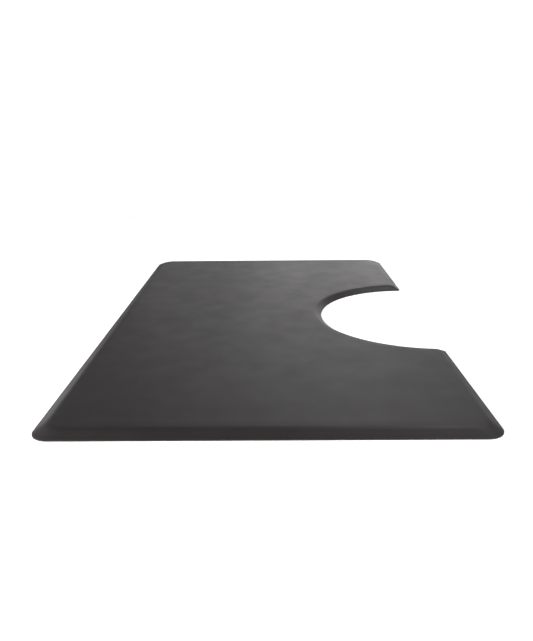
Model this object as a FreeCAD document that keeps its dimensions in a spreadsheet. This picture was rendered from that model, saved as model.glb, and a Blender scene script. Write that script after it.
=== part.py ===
"""Anti-fatigue floor mat for a salon chair: a bevelled foam slab with a half-round notch in one long side.

The mat lies on the floor with +Z up. Its origin is the middle of its footprint at floor level, +X points at
the notched long side, and Y runs along the mat's length. All sizes are in millimetres.

It is a bonded stack of three moulded layers: a wear skin over the top and the bevels, a foam core under it,
and a base skin whose underside is covered with shallow round grip cells.
"""

import FreeCAD, Part
import math
import os
import Sketcher

DIMENSIONS = [
    ("mat_width", 914.0, "across the mat, 36 in"),
    ("mat_length", 1524.0, "along the mat, 60 in"),
    ("mat_thickness", 15.9, "floor to the standing surface, 5/8 in"),
    ("lip_height", 2.6, "upright edge between the floor and the bevel"),
    ("bevel_run", 25.0, "width of the bevel along the four sides, up to where it would meet the top"),
    ("corner_radius", 40.0, "outer corners at the floor"),
    ("crest_corner_radius", 38.0, "outer corners at the top of the bevel"),
    ("notch_radius", 296.0, "half-round notch for a chair base of 23 in"),
    ("notch_run", 20.0, "width of the bevel round the notch"),
    ("horn_radius", 8.0, "corners where the notch meets the side"),
    ("shoulder_share", 0.28, "share of the bevel that the rounding at its top takes away"),
    ("skin_thickness", 1.6, "wear skin"),
    ("base_thickness", 2.0, "base skin"),
    ("cell_diameter", 34.0, "mouth of one grip cell"),
    ("cell_depth", 1.1, "grip cell at its middle"),
    ("cell_pitch", 60.0, "from one grip cell to the next"),
    ("cell_margin", 14.0, "least land between a cell and the base skin's edge"),
]
SHOULDER_BANDS = 5
UP = FreeCAD.Vector(0, 0, 1)


def fill_sheet(doc):
    """The driving dimensions, one aliased cell each."""
    sheet = doc.addObject("Spreadsheet::Sheet", "Sheet")
    for row, (alias, value, note) in enumerate(DIMENSIONS, start=1):
        sheet.set(f"A{row}", alias)
        sheet.set(f"B{row}", str(value))
        sheet.set(f"C{row}", note)
        sheet.setAlias(f"B{row}", alias)
    doc.recompute()
    return sheet


def size(doc, text):
    """The value of an expression on the sheet, in millimetres."""
    return float(doc.Sheet.evalExpression(text.replace("Sheet.", "")))


class Outline:
    """The mat's outline at one height, as expressions on the sheet.

    share says how far up the bevel the outline is: 0 is the footprint, 1 is where the bevel's slope would
    reach the top. margin is a further inset from all the walls.
    """

    def __init__(self, height, share="0", margin="0"):
        self.height = height
        self.inset = f"Sheet.bevel_run * ({share}) + {margin}"
        self.notch = f"Sheet.notch_radius + Sheet.notch_run * ({share}) + {margin}"
        self.corner = f"Sheet.corner_radius + (Sheet.crest_corner_radius - Sheet.corner_radius) * ({share})"


def outline_sketch(body, name, outline):
    """A closed sketch of the outline at its height: four rounded corners and the notch in the +X side."""
    doc = body.Document
    sketch = body.newObject("Sketcher::SketchObject", name)
    plane = next(f for f in body.Origin.OriginFeatures if f.Role == "XY_Plane")
    sketch.AttachmentSupport = [(plane, "")]
    sketch.MapMode = "FlatFace"
    sketch.setExpression(".AttachmentOffset.Base.z", outline.height)

    # Every edge is drawn where it belongs, so that the solver has nothing to move.
    half_width = f"Sheet.mat_width / 2 - ({outline.inset})"
    half_length = f"Sheet.mat_length / 2 - ({outline.inset})"
    half_x = size(doc, half_width)
    half_y = size(doc, half_length)
    notch_x = size(doc, "Sheet.mat_width / 2")
    notch = size(doc, outline.notch)
    corner = size(doc, outline.corner)
    horn = size(doc, "Sheet.horn_radius")
    inner_x = half_x - corner
    inner_y = half_y - corner
    horn_x = half_x - horn
    horn_y = math.sqrt((notch + horn) ** 2 - (notch_x - horn_x) ** 2)
    turn = math.atan2(horn_y, notch_x - horn_x)  # the way from the notch's middle to a horn's, off -X
    quarter = math.pi / 2

    def line(x1, y1, x2, y2):
        return Part.LineSegment(FreeCAD.Vector(x1, y1, 0), FreeCAD.Vector(x2, y2, 0))

    def arc(x, y, radius, start, end):
        return Part.ArcOfCircle(Part.Circle(FreeCAD.Vector(x, y, 0), UP, radius), start, end)

    edges = {
        "south": line(-inner_x, -half_y, inner_x, -half_y),
        "south_east": arc(inner_x, -inner_y, corner, -quarter, 0),
        "east_low": line(half_x, -inner_y, half_x, -horn_y),
        "horn_low": arc(horn_x, -horn_y, horn, 0, turn),
        "round_notch": arc(notch_x, 0, notch, math.pi - turn, math.pi + turn),
        "horn_high": arc(horn_x, horn_y, horn, -turn, 0),
        "east_high": line(half_x, horn_y, half_x, inner_y),
        "north_east": arc(inner_x, inner_y, corner, 0, quarter),
        "north": line(inner_x, half_y, -inner_x, half_y),
        "north_west": arc(-inner_x, inner_y, corner, quarter, 2 * quarter),
        "west": line(-half_x, inner_y, -half_x, -inner_y),
        "south_west": arc(-inner_x, -inner_y, corner, 2 * quarter, 3 * quarter),
    }
    number = dict(zip(edges, sketch.addGeometry(list(edges.values()), False)))

    def constrain(kind, *arguments):
        return sketch.addConstraint(Sketcher.Constraint(kind, *arguments))

    # Point 1 is an edge's start and 2 its end going anticlockwise; the notch alone is drawn the other way.
    ring = list(number)
    for first, second in zip(ring, ring[1:] + ring[:1]):
        leave = 1 if first == "round_notch" else 2
        enter = 2 if second == "round_notch" else 1
        constrain("Tangent", number[first], leave, number[second], enter)
    for edge in ("south", "north"):
        constrain("Horizontal", number[edge])
    for edge in ("east_low", "east_high", "west"):
        constrain("Vertical", number[edge])
    for edge in ("north_east", "north_west", "south_west"):
        constrain("Equal", number["south_east"], number[edge])
    constrain("Equal", number["horn_low"], number["horn_high"])

    x_axis = -1
    origin = (-1, 1)
    centre = 3
    constrain("PointOnObject", number["round_notch"], centre, x_axis)
    driven = [
        ("east", "DistanceX", (*origin, number["east_low"], 1), half_x, half_width),
        ("west", "DistanceX", (number["west"], 1, *origin), half_x, half_width),
        ("south", "DistanceY", (number["south"], 1, *origin), half_y, half_length),
        ("north", "DistanceY", (*origin, number["north"], 1), half_y, half_length),
        ("middle", "DistanceX", (*origin, number["round_notch"], centre), notch_x, "Sheet.mat_width / 2"),
        ("notch", "Radius", (number["round_notch"],), notch, outline.notch),
        ("corner", "Radius", (number["south_east"],), corner, outline.corner),
        ("horn", "Radius", (number["horn_low"],), horn, "Sheet.horn_radius"),
    ]
    for label, kind, arguments, value, expression in driven:
        index = constrain(kind, *arguments, value)
        sketch.renameConstraint(index, label)
        sketch.setExpression(f".Constraints.{label}", expression)
    return sketch


def bevelled_loft(body, name, foot, drop, margin):
    """Adds a slab to the body: from the foot outline up the bevel and over a rounded shoulder to the top.

    The shoulder is a parabola drawn in narrow bands. drop lowers it all, and margin insets it.
    """
    rise = "(Sheet.mat_thickness - Sheet.lip_height)"
    outlines = [foot]
    for band in range(SHOULDER_BANDS + 1):
        left = 1 - band / SHOULDER_BANDS  # 1 where the shoulder leaves the bevel, 0 where it meets the top
        height = f"Sheet.mat_thickness - ({drop}) - {rise} * Sheet.shoulder_share * {left**2:.4f}"
        share = f"1 + Sheet.shoulder_share * {1 - 2 * left:.4f}"
        outlines.append(Outline(height, share, margin))
    sketches = []
    for level, outline in enumerate(outlines):
        sketches.append(outline_sketch(body, f"{name}_{level}", outline))
    loft = body.newObject("PartDesign::AdditiveLoft", f"{name}_bevel")
    loft.Profile = sketches[0]
    loft.Sections = sketches[1:]
    loft.Ruled = True
    body.Document.recompute()


def make_foam_core(doc):
    """The cushion: resilient foam that fills the space between the two skins, one skin's thickness inside."""
    body = doc.addObject("PartDesign::Body", "foam_core")
    rise = "(Sheet.mat_thickness - Sheet.lip_height)"
    share = f"(Sheet.base_thickness - Sheet.lip_height + Sheet.skin_thickness) / {rise}"
    margin = "Sheet.skin_thickness / 4"
    foot = Outline("Sheet.base_thickness", share, margin)
    bevelled_loft(body, "core", foot, "Sheet.skin_thickness", margin)
    return body


def make_wear_skin(doc, core):
    """The moulded skin over the standing surface and the bevels: it stands on the base skin, hollow below."""
    body = doc.addObject("PartDesign::Body", "mat_envelope")
    lip = body.newObject("PartDesign::Pad", "lip")
    lip.Profile = outline_sketch(body, "parting_line", Outline("Sheet.base_thickness"))
    lip.setExpression("Length", "Sheet.lip_height - Sheet.base_thickness")
    doc.recompute()
    bevelled_loft(body, "skin", Outline("Sheet.lip_height"), "0", "0")
    skin = doc.addObject("Part::Cut", "wear_skin")
    skin.Base = body
    skin.Tool = core
    doc.recompute()
    return skin


def cell_centres(doc):
    """Middles of the grip cells: a triangular grid, kept clear of the footprint's edge all round."""
    pitch = size(doc, "Sheet.cell_pitch")
    keep = size(doc, "Sheet.cell_diameter / 2 + Sheet.cell_margin")
    notch_x = size(doc, "Sheet.mat_width / 2")
    notch_clear = size(doc, "Sheet.notch_radius") + keep
    reach_x = notch_x - keep
    reach_y = size(doc, "Sheet.mat_length / 2") - keep
    row_gap = pitch * math.sqrt(3) / 2
    rows = int(reach_y // row_gap)
    columns = int(reach_x // pitch) + 1
    centres = []
    for row in range(-rows, rows + 1):
        shift = pitch / 2 if row % 2 else 0.0
        for column in range(-columns, columns + 1):
            x = column * pitch + shift
            y = row * row_gap
            if abs(x) <= reach_x and math.hypot(x - notch_x, y) >= notch_clear:
                centres.append(FreeCAD.Vector(x, y, 0))
    return centres


def make_base_skin(doc):
    """The underside: a tough sheet as large as the footprint, with a shallow round cup for each grip cell."""
    body = doc.addObject("PartDesign::Body", "base_sheet")
    sheet = body.newObject("PartDesign::Pad", "sheet")
    sheet.Profile = outline_sketch(body, "footprint", Outline("0"))
    sheet.setExpression("Length", "Sheet.base_thickness")
    doc.recompute()

    depth = size(doc, "Sheet.cell_depth")
    mouth = size(doc, "Sheet.cell_diameter / 2")
    ball = (mouth**2 + depth**2) / (2 * depth)  # radius of the sphere that the cup is a cap of
    below = depth / 2  # how far the cap reaches below the sheet, so that it cuts cleanly
    start = math.degrees(math.asin((ball - depth - below) / ball))
    cup = Part.makeSphere(ball, FreeCAD.Vector(0, 0, depth - ball), UP, start, 90)
    cups = doc.addObject("Part::Feature", "grip_cups")
    cups.Shape = Part.makeCompound([cup.translated(centre) for centre in cell_centres(doc)])

    base = doc.addObject("Part::Cut", "base_skin")
    base.Base = body
    base.Tool = cups
    doc.recompute()
    return base


def export(doc, pieces):
    """Writes each piece to parts/NODE.step once the whole document has proved sound."""
    failed = [o.Name for o in doc.Objects if {"Invalid", "Error"} & set(o.State)]
    if failed:
        raise RuntimeError(f"these objects failed: {failed}")
    os.makedirs("parts", exist_ok=True)
    for piece in pieces:
        shape = piece.Shape
        if shape.isNull() or not shape.isValid() or len(shape.Solids) != 1:
            raise RuntimeError(f"{piece.Label} is not one sound solid")
        shape.exportStep(os.path.join("parts", f"{piece.Label}.step"))
        print(f"{piece.Label}: {shape.Volume / 1000:.0f} cm3, {len(shape.Faces)} faces, "
              f"z {shape.BoundBox.ZMin:.2f} to {shape.BoundBox.ZMax:.2f}")


def main():
    doc = FreeCAD.newDocument("salon_mat")
    fill_sheet(doc)
    core = make_foam_core(doc)
    skin = make_wear_skin(doc, core)
    base = make_base_skin(doc)
    export(doc, [skin, core, base])


main()
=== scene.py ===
"""Looks of the salon anti-fatigue mat, with its moulded wear skin, foam core and gripping underside.

Lengths are in metres, in the frame of the CAD model: +Z up from the floor, +X towards the notched long
side, +Y along the mat.
"""

import math

import bpy
from mathutils import Matrix, Vector, noise
from mathutils.geometry import delaunay_2d_cdt


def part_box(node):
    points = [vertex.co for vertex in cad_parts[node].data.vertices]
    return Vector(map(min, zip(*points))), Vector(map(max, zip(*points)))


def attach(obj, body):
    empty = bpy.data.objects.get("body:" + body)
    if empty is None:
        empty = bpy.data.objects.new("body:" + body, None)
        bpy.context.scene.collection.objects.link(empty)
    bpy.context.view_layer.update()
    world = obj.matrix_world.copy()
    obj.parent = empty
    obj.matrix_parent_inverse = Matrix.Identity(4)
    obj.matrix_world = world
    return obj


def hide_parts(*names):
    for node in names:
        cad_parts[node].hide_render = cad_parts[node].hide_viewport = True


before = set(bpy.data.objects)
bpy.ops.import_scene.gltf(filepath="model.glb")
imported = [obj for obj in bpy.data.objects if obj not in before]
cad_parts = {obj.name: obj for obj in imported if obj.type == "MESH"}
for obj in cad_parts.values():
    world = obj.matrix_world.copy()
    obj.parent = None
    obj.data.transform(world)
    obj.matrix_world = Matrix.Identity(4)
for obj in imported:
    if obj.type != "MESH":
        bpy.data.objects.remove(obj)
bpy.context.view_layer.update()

MM = 0.001
QUARTER = math.pi / 2
FULL_TURN = 2 * math.pi

SKIN_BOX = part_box("wear_skin")
CORE_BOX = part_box("foam_core")
HALF_WIDTH = SKIN_BOX[1].x
HALF_LENGTH = SKIN_BOX[1].y
TOP = SKIN_BOX[1].z
PARTING = SKIN_BOX[0].z  # height of the seam between the two skins
SKIN = TOP - CORE_BOX[1].z

# The driving dimensions that the boxes don't give, as in the CAD model.
LIP = 2.6 * MM
BEVEL_RUN = 25.0 * MM
NOTCH_RADIUS = 296.0 * MM
NOTCH_RUN = 20.0 * MM
CORNER_RADIUS = 40.0 * MM
CREST_CORNER_RADIUS = 38.0 * MM
HORN_RADIUS = 8.0 * MM  # the two corners between the notch and the long side
SHOULDER_SHARE = 0.28
RISE = TOP - LIP
CELL_DIAMETER = 34.0 * MM
CELL_DEPTH = 1.1 * MM
CELL_PITCH = 60.0 * MM
CELL_MARGIN = 14.0 * MM

# Fine shapes, which the CAD model leaves out.
BOTTOM_INSET = 0.5 * MM  # how far inside its outline the base skin meets the floor
SEAM = 0.25 * MM  # how far the wear skin's edge is rounded where it meets the base skin
LIP_EASE = 0.28 * MM  # how far the top of the lip is set back where the bevel starts
CROWN_DROP = 0.4 * MM  # how far the shoulder lies below the standing surface, which curves down to it
CROWN_RUN = 18.0 * MM
CELL_RIM = 0.7 * MM  # width of the softened rim round a grip cell
FLOW = 0.45 * MM  # how far the standing surface dips in its slow waves
# Waves per metre along X and Y, and which slice of the noise they come from.
SLOW_WAVE = (3.1, 2.3, 4.7)
QUICK_WAVE = (8.0, 22.0, 9.1)
SLOW_SHARE = 0.38
QUICK_SHARE = 0.05

# How finely the meshes are divided.
END_STEPS = 42
CORNER_STEPS = 14
NOTCHED_SIDE_STEPS = 20
HORN_STEPS = 12
NOTCH_STEPS = 96
PLAIN_SIDE_STEPS = 70
CELL_STEPS = 28
FLOOR_STEPS = 96
GRID = 13.0 * MM
SMOOTH_ANGLE = math.radians(40)

CAMERA_PLACE = (0.0117, -1.8108, 0.5784)
CAMERA_PITCH = math.radians(17.97)  # down from level
CAMERA_YAW = math.radians(-0.57)  # to the right of +Y
CAMERA_ROLL = math.radians(-0.56)
LENS = 35.07
SENSOR = 36.0

FLOOR_RADIUS = 2.2  # past it the white backdrop takes over from the white floor
FLOOR_GLOW = 0.5
# The sine of the height above the horizon, and how much the backdrop glows there.
BACKDROP_GLOW = [(0.0, 0.3), (0.27, 0.3), (0.36, 0.0)]
LAMP_COLOUR = (1.0, 0.98, 0.98)
LOW_BOX = (0.7, 0.4)
WIDE_BOX = (1.2, 0.9)
SOFT_BOXES = [  # name, place, size, watts
    ("left_low_box", (-1.3, 0.5, 0.2), LOW_BOX, 1.0),
    ("back_low_box", (0.9, 2.1, 0.3), LOW_BOX, 2.1),
    ("right_low_box", (2.0, 0.5, 0.5), LOW_BOX, 3.0),
    ("back_left_box", (-0.6, 3.5, 1.0), WIDE_BOX, 3.8),
    ("back_left_high_box", (-1.6, 3.5, 2.0), WIDE_BOX, 2.2),
    ("back_box", (0.5, 3.5, 1.0), WIDE_BOX, 10.5),
    ("back_right_box", (1.8, 3.0, 1.0), WIDE_BOX, 4.0),
    ("back_high_box", (-0.3, 3.5, 2.0), WIDE_BOX, 3.0),
    ("left_box", (-2.5, -0.5, 1.2), WIDE_BOX, 52.0),
    ("overhead_box", (1.0, 1.0, 2.4), WIDE_BOX, 19.0),
    ("right_overhead_box", (1.5, 0.2, 2.4), WIDE_BOX, 12.0),
    ("front_box", (-1.5, -3.0, 1.0), WIDE_BOX, 75.0),
    ("front_right_box", (1.5, -3.0, 1.0), WIDE_BOX, 50.0),
    ("under_box", (1.2, 1.6, -0.7), WIDE_BOX, 110.0),
]


# ---------------------------------------------------------------- outline

def arc_points(x, y, radius, start, end, steps):
    """Points along an arc, without its last."""
    angles = (start + (end - start) * step / steps for step in range(steps))
    return [(x + radius * math.cos(angle), y + radius * math.sin(angle)) for angle in angles]


def line_points(x1, y1, x2, y2, steps):
    """Points along a line, without its last."""
    return [(x1 + (x2 - x1) * step / steps, y1 + (y2 - y1) * step / steps) for step in range(steps)]


def outline(share, margin=0.0):
    """The mat's outline as (x, y) points, anticlockwise from the start of the -Y end.

    share is how far up the bevel it lies: 0 at the floor, 1 where the bevel's slope would reach the top.
    margin insets it further. Every outline has the same number of points, so a band of faces joins any two.
    """
    half_x = HALF_WIDTH - BEVEL_RUN * share - margin
    half_y = HALF_LENGTH - BEVEL_RUN * share - margin
    notch = NOTCH_RADIUS + NOTCH_RUN * share + margin
    corner = CORNER_RADIUS + (CREST_CORNER_RADIUS - CORNER_RADIUS) * share
    in_x = half_x - corner
    in_y = half_y - corner
    horn_x = half_x - HORN_RADIUS
    horn_y = math.sqrt((notch + HORN_RADIUS) ** 2 - (HALF_WIDTH - horn_x) ** 2)
    turn = math.atan2(horn_y, HALF_WIDTH - horn_x)
    points = line_points(-in_x, -half_y, in_x, -half_y, END_STEPS)
    points += arc_points(in_x, -in_y, corner, -QUARTER, 0, CORNER_STEPS)
    points += line_points(half_x, -in_y, half_x, -horn_y, NOTCHED_SIDE_STEPS)
    points += arc_points(horn_x, -horn_y, HORN_RADIUS, 0, turn, HORN_STEPS)
    points += arc_points(HALF_WIDTH, 0, notch, math.pi + turn, math.pi - turn, NOTCH_STEPS)
    points += arc_points(horn_x, horn_y, HORN_RADIUS, -turn, 0, HORN_STEPS)
    points += line_points(half_x, horn_y, half_x, in_y, NOTCHED_SIDE_STEPS)
    points += arc_points(in_x, in_y, corner, 0, QUARTER, CORNER_STEPS)
    points += line_points(in_x, half_y, -in_x, half_y, END_STEPS)
    points += arc_points(-in_x, in_y, corner, QUARTER, 2 * QUARTER, CORNER_STEPS)
    points += line_points(-half_x, in_y, -half_x, -in_y, PLAIN_SIDE_STEPS)
    points += arc_points(-in_x, -in_y, corner, 2 * QUARTER, 3 * QUARTER, CORNER_STEPS)
    return points


def inside(x, y, gap):
    """Whether a point lies on the standing surface, a gap or more inside its edge and clear of the horns."""
    edge = BEVEL_RUN * (1 + SHOULDER_SHARE) + gap
    if abs(x) > HALF_WIDTH - edge or abs(y) > HALF_LENGTH - edge:
        return False
    if math.hypot(x - HALF_WIDTH, y) < NOTCH_RADIUS + NOTCH_RUN * (1 + SHOULDER_SHARE) + gap:
        return False
    corner_x = abs(x) - (HALF_WIDTH - edge - CREST_CORNER_RADIUS)
    corner_y = abs(y) - (HALF_LENGTH - edge - CREST_CORNER_RADIUS)
    if corner_x > 0 and corner_y > 0 and math.hypot(corner_x, corner_y) > CREST_CORNER_RADIUS:
        return False
    horn_reach = HORN_RADIUS + NOTCH_RUN
    level_with_horn = abs(abs(y) - NOTCH_RADIUS - NOTCH_RUN) < 2 * horn_reach
    return not (level_with_horn and x > HALF_WIDTH - edge - horn_reach)


def shoulder_rings(drop=0.0, first_share=0.0, bevel_steps=7, shoulder_steps=9):
    """(share, height) up the bevel and over its rounded shoulder to the standing surface."""
    start = 1 - SHOULDER_SHARE
    rings = []
    for step in range(bevel_steps):
        share = first_share + (start - first_share) * step / bevel_steps
        rings.append((share, LIP + RISE * share - drop))
    for step in range(shoulder_steps + 1):
        left = 1 - step / shoulder_steps
        height = TOP - RISE * SHOULDER_SHARE * left**2 - drop
        rings.append((1 + SHOULDER_SHARE * (1 - 2 * left), height))
    return rings


def surface_grid(spacing, gap):
    """Points of an even grid over the standing surface, clear of its edge."""
    columns = int(HALF_WIDTH / spacing)
    rows = int(HALF_LENGTH / spacing)
    points = []
    for row in range(-rows, rows + 1):
        for column in range(-columns, columns + 1):
            x = (column + (0.5 if row % 2 else 0.0)) * spacing
            y = row * spacing
            if inside(x, y, gap):
                points.append((x, y))
    return points


# ---------------------------------------------------------------- mesh helper

class Surface:
    """A mesh under construction: vertices and faces."""

    def __init__(self):
        self.verts = []
        self.faces = []

    def ring(self, points, height):
        """Adds a ring of vertices at a height, and returns their numbers."""
        first = len(self.verts)
        self.verts += [(x, y, height) for x, y in points]
        return list(range(first, len(self.verts)))

    def band(self, lower, upper):
        """Joins two rings with quads that face outwards when upper follows lower up the outside."""
        count = len(lower)
        for i in range(count):
            j = (i + 1) % count
            self.faces.append((lower[i], lower[j], upper[j], upper[i]))

    def bands(self, rings):
        """Joins each ring to the next."""
        for lower, upper in zip(rings, rings[1:]):
            self.band(lower, upper)

    def fill(self, loops, inner_points, height, up=True):
        """Fills the first ring with triangles that use the inner points. Any other rings are holes."""
        numbers = [number for loop in loops for number in loop]
        coords = [Vector(self.verts[number][:2]) for number in numbers]
        areas = []
        start = 0
        for loop in loops:
            areas.append(list(range(start, start + len(loop))))
            start += len(loop)
        coords += [Vector(point) for point in inner_points]
        inner_first = len(self.verts)
        self.verts += [(x, y, height) for x, y in inner_points]
        numbers += list(range(inner_first, len(self.verts)))
        triangles_inside = 1
        merge_within = 1e-7
        made = delaunay_2d_cdt(coords, [], areas, triangles_inside, merge_within)
        faces, origins, within = made[2], made[3], made[5]
        new = [numbers[source[0]] for source in origins]
        for face, face_areas in zip(faces, within):
            if set(face_areas) == {0}:  # in the first ring's area and in no hole's
                face = [new[i] for i in face]
                self.faces.append(tuple(face if up else reversed(face)))

    def build(self, name):
        """The finished mesh object, smooth but for its sharp edges."""
        mesh = bpy.data.meshes.new(name)
        mesh.from_pydata(self.verts, [], self.faces)
        mesh.validate()
        mesh.polygons.foreach_set("use_smooth", [True] * len(mesh.polygons))
        mesh.set_sharp_from_angle(angle=SMOOTH_ANGLE)
        piece = bpy.data.objects.new(name, mesh)
        bpy.context.scene.collection.objects.link(piece)
        return piece


# ---------------------------------------------------------------- pieces

def wave(x, y, across, along, level):
    """The height of a noise wave at a point, from -1 to 1."""
    return noise.noise(Vector((x * across, y * along, level)))


def sag(x, y):
    """How far the skin dips below its nominal surface: slow waves of a moulded foam sheet."""
    return FLOW * (0.5 + SLOW_SHARE * wave(x, y, *SLOW_WAVE) + QUICK_SHARE * wave(x, y, *QUICK_WAVE))


def core_rings(shape):
    """Rings up the boundary between the wear skin and the core."""
    foot_share = (PARTING - LIP + SKIN) / RISE
    rings = []
    coarse = shoulder_rings(drop=SKIN, first_share=foot_share, bevel_steps=2, shoulder_steps=4)
    for share, height in coarse:
        rings.append(shape.ring(outline(share, SKIN / 4), height))
    return rings


def make_wear_skin():
    """The moulded skin: bevels, rounded shoulders and a slightly waving standing surface, hollow below."""
    shape = Surface()
    edge_profile = [  # inset from the outline and height
        (SEAM, PARTING),
        (0.4 * SEAM, PARTING + 0.25 * SEAM),
        (0.0, PARTING + SEAM),
        (0.06 * MM, LIP - 0.12 * MM),
        (LIP_EASE, LIP + 0.10 * MM),
    ]
    outer = [shape.ring(outline(0, inset), height) for inset, height in edge_profile]
    for share, height in shoulder_rings(first_share=0.03):
        outer.append(shape.ring(outline(share), height - CROWN_DROP * min(share, 1)))
    for part in (0.15, 0.3, 0.45, 0.6, 0.75, 0.9, 1.0):
        crown = outline(1 + SHOULDER_SHARE, CROWN_RUN * part)
        outer.append(shape.ring(crown, TOP - CROWN_DROP * (1 - part) ** 2))
    shape.bands(outer)
    waved = len(shape.verts)
    grid = surface_grid(GRID, CROWN_RUN + GRID * 0.6)
    shape.fill([outer[-1]], grid, TOP)

    inner = core_rings(shape)
    for lower, upper in zip(inner, inner[1:]):
        shape.band(upper, lower)
    shape.fill([inner[-1]], [], TOP - SKIN, up=False)
    shape.band(inner[0], outer[0])

    for number in range(waved, waved + len(grid)):
        x, y, z = shape.verts[number]
        shape.verts[number] = (x, y, z - sag(x, y))
    return shape.build("wear_skin_moulded")


def make_foam_core():
    """The cushion between the skins."""
    shape = Surface()
    rings = core_rings(shape)
    shape.bands(rings)
    shape.fill([rings[-1]], [], TOP - SKIN)
    shape.fill([rings[0]], [], PARTING, up=False)
    return shape.build("foam_core_block")


def cell_centres():
    """Middles of the grip cells, in a triangular grid clear of the edge all round, as in the CAD model."""
    keep = CELL_DIAMETER / 2 + CELL_MARGIN
    reach_x = HALF_WIDTH - keep
    reach_y = HALF_LENGTH - keep
    row_gap = CELL_PITCH * math.sqrt(3) / 2
    rows = int(reach_y // row_gap)
    columns = int(reach_x // CELL_PITCH) + 1
    centres = []
    for row in range(-rows, rows + 1):
        shift = CELL_PITCH / 2 if row % 2 else 0.0
        for column in range(-columns, columns + 1):
            x = column * CELL_PITCH + shift
            y = row * row_gap
            if abs(x) <= reach_x and math.hypot(x - HALF_WIDTH, y) >= NOTCH_RADIUS + keep:
                centres.append((x, y))
    return centres


def add_cell(shape, x, y):
    """Adds a shallow cup with a softened rim, and returns the rim's ring."""
    mouth = CELL_DIAMETER / 2
    ball = (mouth**2 + CELL_DEPTH**2) / (2 * CELL_DEPTH)
    profile = [(mouth + CELL_RIM, 0.0), (mouth, 0.035 * MM)]  # radius and height
    for reach in (0.93, 0.82, 0.66, 0.46, 0.22):
        height = math.sqrt(ball**2 - (reach * mouth) ** 2) - (ball - CELL_DEPTH)
        profile.append((reach * mouth, height))
    cup = []
    for radius, height in profile:
        cup.append(shape.ring(arc_points(x, y, radius, 0, FULL_TURN, CELL_STEPS), height))
    shape.bands(cup)
    crown = len(shape.verts)
    shape.verts.append((x, y, CELL_DEPTH))
    last = cup[-1]
    shape.faces += [(last[i], last[(i + 1) % CELL_STEPS], crown) for i in range(CELL_STEPS)]
    return cup[0]


def make_base_skin():
    """The underside sheet, with a shallow cup for each grip cell."""
    shape = Surface()
    edge_profile = [  # inset from the outline and height
        (BOTTOM_INSET, 0.0),
        (0.2 * MM, 0.06 * MM),
        (0.05 * MM, 0.2 * MM),
        (0.0, 0.45 * MM),
        (0.0, 1.7 * MM),
        (0.1 * MM, 1.94 * MM),
        (0.25 * MM, 2.0 * MM),
    ]
    rings = [shape.ring(outline(0, inset), height) for inset, height in edge_profile]
    shape.bands(rings)
    shape.fill([rings[-1]], [], PARTING)
    rims = [add_cell(shape, x, y) for x, y in cell_centres()]
    shape.fill([rings[0], *rims], [], 0.0, up=False)
    return shape.build("base_skin_sheet")


# ---------------------------------------------------------------- materials

class Nodes:
    """Short forms for building a node material. Noise scales are in features per metre."""

    def __init__(self, name):
        self.material = bpy.data.materials.new(name)
        self.material.use_nodes = True
        self.tree = self.material.node_tree
        self.shader = self.tree.nodes["Principled BSDF"]
        self.position = self.add("ShaderNodeTexCoord").outputs["Object"]

    def add(self, kind):
        return self.tree.nodes.new(kind)

    def link(self, source, target):
        self.tree.links.new(source, target)

    def feed(self, source, socket):
        """Links an output to one of the shader's inputs."""
        self.link(source, self.shader.inputs[socket])

    def noise(self, scale, detail=3.0, roughness=0.5, stretch=None):
        """The factor of a noise texture."""
        node = self.add("ShaderNodeTexNoise")
        node.inputs["Scale"].default_value = scale
        node.inputs["Detail"].default_value = detail
        node.inputs["Roughness"].default_value = roughness
        source = self.position
        if stretch is not None:
            mapping = self.add("ShaderNodeMapping")
            mapping.inputs["Scale"].default_value = stretch
            self.link(source, mapping.inputs["Vector"])
            source = mapping.outputs["Vector"]
        self.link(source, node.inputs["Vector"])
        return node.outputs["Fac"]

    def cells(self, scale):
        """The distance of a Voronoi texture."""
        node = self.add("ShaderNodeTexVoronoi")
        node.inputs["Scale"].default_value = scale
        self.link(self.position, node.inputs["Vector"])
        return node.outputs["Distance"]

    def ramp(self, factor, low, high):
        """A ramp between two colours, over the middle of the factor's range."""
        node = self.add("ShaderNodeValToRGB")
        for element, place, colour in zip(node.color_ramp.elements, (0.3, 0.7), (low, high)):
            element.position = place
            element.color = (*colour, 1)
        self.link(factor, node.inputs["Fac"])
        return node.outputs["Color"]

    def span(self, factor, low, high):
        """The middle of the factor's range, mapped to low to high."""
        node = self.add("ShaderNodeMapRange")
        node.inputs["From Min"].default_value = 0.3
        node.inputs["From Max"].default_value = 0.7
        node.inputs["To Min"].default_value = low
        node.inputs["To Max"].default_value = high
        self.link(factor, node.inputs["Value"])
        return node.outputs["Result"]

    def bump(self, height, distance, strength=1.0):
        node = self.add("ShaderNodeBump")
        node.inputs["Strength"].default_value = strength
        node.inputs["Distance"].default_value = distance
        self.link(height, node.inputs["Height"])
        return node.outputs["Normal"]


def wear_skin_material():
    """Satin charcoal polyurethane: cloudy, with a very fine moulded grain."""
    m = Nodes("wear_skin_satin")
    cloud = m.noise(7.0, detail=6.0, roughness=0.65, stretch=(0.7, 1.6, 1.0))
    m.feed(m.ramp(cloud, (0.0141, 0.0128, 0.0127), (0.0176, 0.0159, 0.0157)), "Base Color")
    m.feed(m.span(m.noise(16.0, detail=6.0), 0.47, 0.53), "Roughness")
    m.feed(m.bump(m.noise(1400.0, detail=2.0), 0.08 * MM, 0.6), "Normal")
    m.shader.inputs["IOR"].default_value = 1.36
    return m.material


def foam_material():
    """Closed-cell foam."""
    m = Nodes("foam_closed_cell")
    m.feed(m.ramp(m.noise(300.0), (0.022, 0.022, 0.022), (0.045, 0.044, 0.043)), "Base Color")
    m.feed(m.bump(m.cells(900.0), 0.4 * MM), "Normal")
    m.shader.inputs["Roughness"].default_value = 0.9
    return m.material


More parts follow.
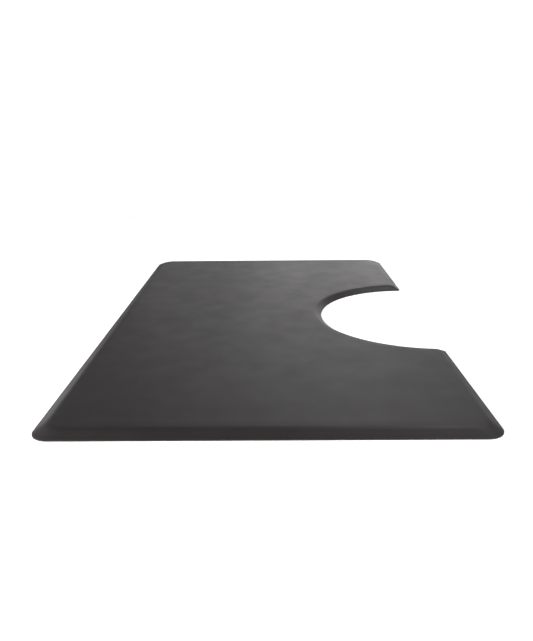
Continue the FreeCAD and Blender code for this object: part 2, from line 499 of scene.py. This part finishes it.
def base_skin_material():
    """Matt rubbery sheet with a light dust of wear."""
    m = Nodes("base_skin_matt")
    dust = m.noise(22.0, detail=6.0)
    m.feed(m.ramp(dust, (0.016, 0.016, 0.016), (0.030, 0.029, 0.028)), "Base Color")
    m.feed(m.span(m.noise(60.0, detail=4.0), 0.62, 0.78), "Roughness")
    m.feed(m.bump(m.noise(900.0, detail=3.0), 0.2 * MM, 0.7), "Normal")
    return m.material


def floor_material():
    """Plain white studio floor that glows a little, to have no grey parts, and is clear from below."""
    m = Nodes("studio_floor")
    m.shader.inputs["Base Color"].default_value = (0.9, 0.9, 0.9, 1)
    m.shader.inputs["Roughness"].default_value = 0.9
    m.shader.inputs["Emission Color"].default_value = (1, 1, 1, 1)
    m.shader.inputs["Emission Strength"].default_value = FLOOR_GLOW
    pick = m.add("ShaderNodeMixShader")
    m.link(m.add("ShaderNodeNewGeometry").outputs["Backfacing"], pick.inputs["Fac"])
    m.link(m.shader.outputs["BSDF"], pick.inputs[1])
    m.link(m.add("ShaderNodeBsdfTransparent").outputs["BSDF"], pick.inputs[2])
    m.link(pick.outputs["Shader"], m.tree.nodes["Material Output"].inputs["Surface"])
    return m.material


# ---------------------------------------------------------------- scene

def place(piece, node, slot, material):
    """Stands a finished piece in for its CAD node."""
    piece.data.materials.append(material)
    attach(piece, "root")
    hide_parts(node)
    return piece


def make_camera():
    """A standing viewer's camera, looking along the mat from its -Y end."""
    ahead = Vector((
        math.sin(CAMERA_YAW) * math.cos(CAMERA_PITCH),
        math.cos(CAMERA_YAW) * math.cos(CAMERA_PITCH),
        -math.sin(CAMERA_PITCH),
    ))
    level = Vector((math.cos(CAMERA_YAW), -math.sin(CAMERA_YAW), 0))
    upright = level.cross(ahead)
    right = math.cos(CAMERA_ROLL) * level + math.sin(CAMERA_ROLL) * upright
    above = -math.sin(CAMERA_ROLL) * level + math.cos(CAMERA_ROLL) * upright
    data = bpy.data.cameras.new("camera")
    data.sensor_width = SENSOR
    data.lens = LENS
    camera = bpy.data.objects.new("camera", data)
    rotation = Matrix((right, above, -ahead)).transposed().to_4x4()
    camera.matrix_world = Matrix.Translation(CAMERA_PLACE) @ rotation
    bpy.context.scene.collection.objects.link(camera)
    bpy.context.scene.camera = camera


def area_light(name, stands_at, size, watts):
    """A soft box facing the middle of the mat, which the camera doesn't see."""
    data = bpy.data.lights.new(name, "AREA")
    data.shape = "RECTANGLE"
    data.size, data.size_y = size
    data.energy = watts
    data.color = LAMP_COLOUR
    lamp = bpy.data.objects.new(name, data)
    lamp.location = stands_at
    lamp.rotation_euler = (-Vector(stands_at)).to_track_quat("-Z", "Y").to_euler()
    lamp.visible_camera = False
    bpy.context.scene.collection.objects.link(lamp)


def make_world():
    """A white backdrop for the camera, which lights the mat only with a faint glow from low down."""
    world = bpy.data.worlds.new("studio")
    world.use_nodes = True
    tree = world.node_tree
    direction = tree.nodes.new("ShaderNodeTexCoord")
    split = tree.nodes.new("ShaderNodeSeparateXYZ")
    ramp = tree.nodes.new("ShaderNodeValToRGB")
    while len(ramp.color_ramp.elements) < len(BACKDROP_GLOW):
        ramp.color_ramp.elements.new(0.5)
    for element, (sine, level) in zip(ramp.color_ramp.elements, BACKDROP_GLOW):
        element.position = sine
        element.color = (level, level, level, 1)
    glow = tree.nodes["Background"]
    white = tree.nodes.new("ShaderNodeBackground")
    white.inputs["Color"].default_value = (1, 1, 1, 1)
    seen = tree.nodes.new("ShaderNodeLightPath")
    pick = tree.nodes.new("ShaderNodeMixShader")
    tree.links.new(direction.outputs["Generated"], split.inputs["Vector"])
    tree.links.new(split.outputs["Z"], ramp.inputs["Fac"])
    tree.links.new(ramp.outputs["Color"], glow.inputs["Color"])
    tree.links.new(seen.outputs["Is Camera Ray"], pick.inputs["Fac"])
    tree.links.new(glow.outputs["Background"], pick.inputs[1])
    tree.links.new(white.outputs["Background"], pick.inputs[2])
    tree.links.new(pick.outputs["Shader"], tree.nodes["World Output"].inputs["Surface"])
    bpy.context.scene.world = world


def make_floor():
    """A round floor, cut away under the mat so that light from below reaches its underside."""
    sheet = Surface()
    rim = sheet.ring(arc_points(0, 0, FLOOR_RADIUS, 0, FULL_TURN, FLOOR_STEPS), 0.0)
    hole = sheet.ring(outline(0, BOTTOM_INSET), 0.0)
    sheet.fill([rim, hole], [], 0.0)
    floor = sheet.build("floor")
    floor.data.materials.append(floor_material())


def make_studio():
    """The floor, the backdrop and the soft boxes round the mat."""
    make_floor()
    make_world()
    for name, stands_at, size, watts in SOFT_BOXES:
        area_light(name, stands_at, size, watts)
    bpy.context.scene.view_settings.view_transform = "Standard"


make_camera()
make_studio()
place(make_wear_skin(), "wear_skin", "wear_skin", wear_skin_material())
foam_core = place(make_foam_core(), "foam_core", "foam", foam_material())
place(make_base_skin(), "base_skin", "base_skin", base_skin_material())
